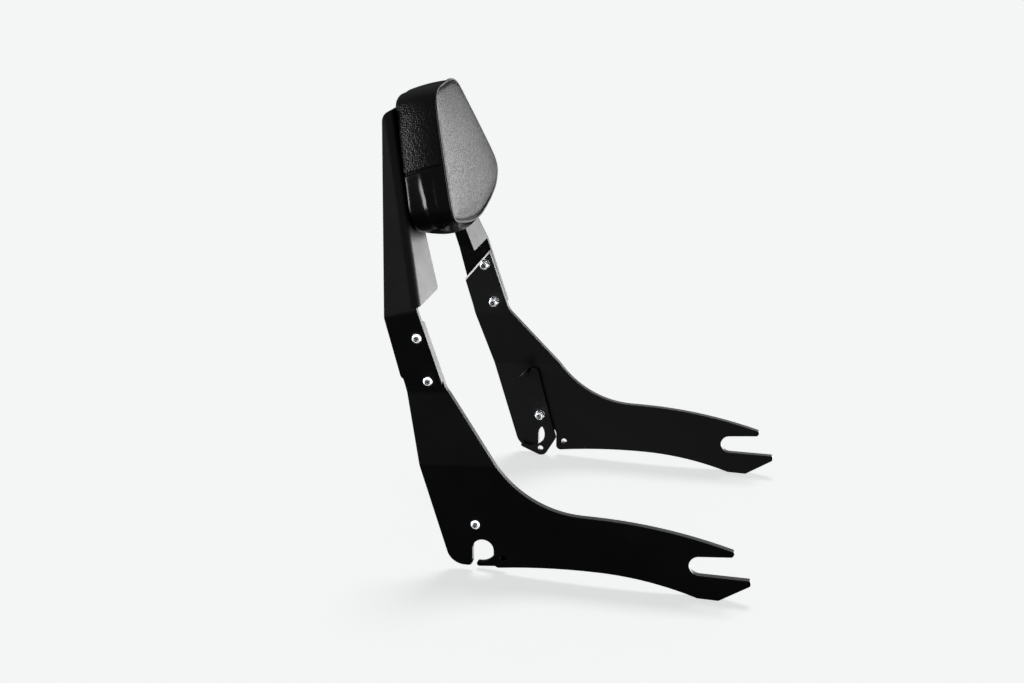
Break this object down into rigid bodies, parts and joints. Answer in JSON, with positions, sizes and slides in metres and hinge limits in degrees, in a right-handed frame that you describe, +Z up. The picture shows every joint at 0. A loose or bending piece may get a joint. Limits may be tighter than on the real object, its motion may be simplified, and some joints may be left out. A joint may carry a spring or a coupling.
{
  "type": "sissy bar",
  "caption": "Detachable motorcycle sissy bar: joggled side plates with docking notches, fork slots and hooked latch levers carry a folded, reclined frame with a padded backrest.",
  "frame": {"origin": "on the axis of the two rear docking notches, midway between the side plates", "axes": "+X forward, the way a rider faces; +Y to the left; +Z up"},
  "size_m": [0.3933, 0.3126, 0.4676],
  "materials": {
    "black_powder_coat": "satin black powder coat on steel plate",
    "bright_zinc": "bright zinc-plated steel",
    "pad_vinyl": "black pebble-grain vinyl-coated fabric over foam",
    "pad_piping_vinyl": "black vinyl welt",
    "plywood": "plain plywood"
  },
  "bodies": {
    "bar": {"backrest_frame": "black_powder_coat", "right_side_plate": "black_powder_coat", "right_leg_screws": "bright_zinc", "right_leg_washers": "bright_zinc", "right_leg_nuts": "bright_zinc", "right_latch_pivot_screw": "bright_zinc", "right_latch_pivot_washer": "bright_zinc", "right_latch_pivot_nut": "bright_zinc", "left_side_plate": "black_powder_coat", "left_leg_screws": "bright_zinc", "left_leg_washers": "bright_zinc", "left_leg_nuts": "bright_zinc", "left_latch_pivot_screw": "bright_zinc", "left_latch_pivot_washer": "bright_zinc", "left_latch_pivot_nut": "bright_zinc", "pad_cushion": "pad_vinyl", "pad_piping": "pad_piping_vinyl", "pad_base_board": "plywood", "pad_tee_nuts": "bright_zinc", "pad_screws": "bright_zinc", "pad_screw_washers": "bright_zinc"},
    "right_latch": {"right_latch_lever": "black_powder_coat"},
    "left_latch": {"left_latch_lever": "black_powder_coat"}
  },
  "joints": [
    {"name": "right_latch_pivot", "type": "hinge", "parent": "bar", "child": "right_latch", "pos_m": [-0.0076, -0.1447, 0.027], "axis": [0, -1, 0], "range_deg": [-35, 60]},
    {"name": "left_latch_pivot", "type": "hinge", "parent": "bar", "child": "left_latch", "pos_m": [-0.0076, 0.1447, 0.027], "axis": [0, -1, 0], "range_deg": [-6, 90]}
  ]
}
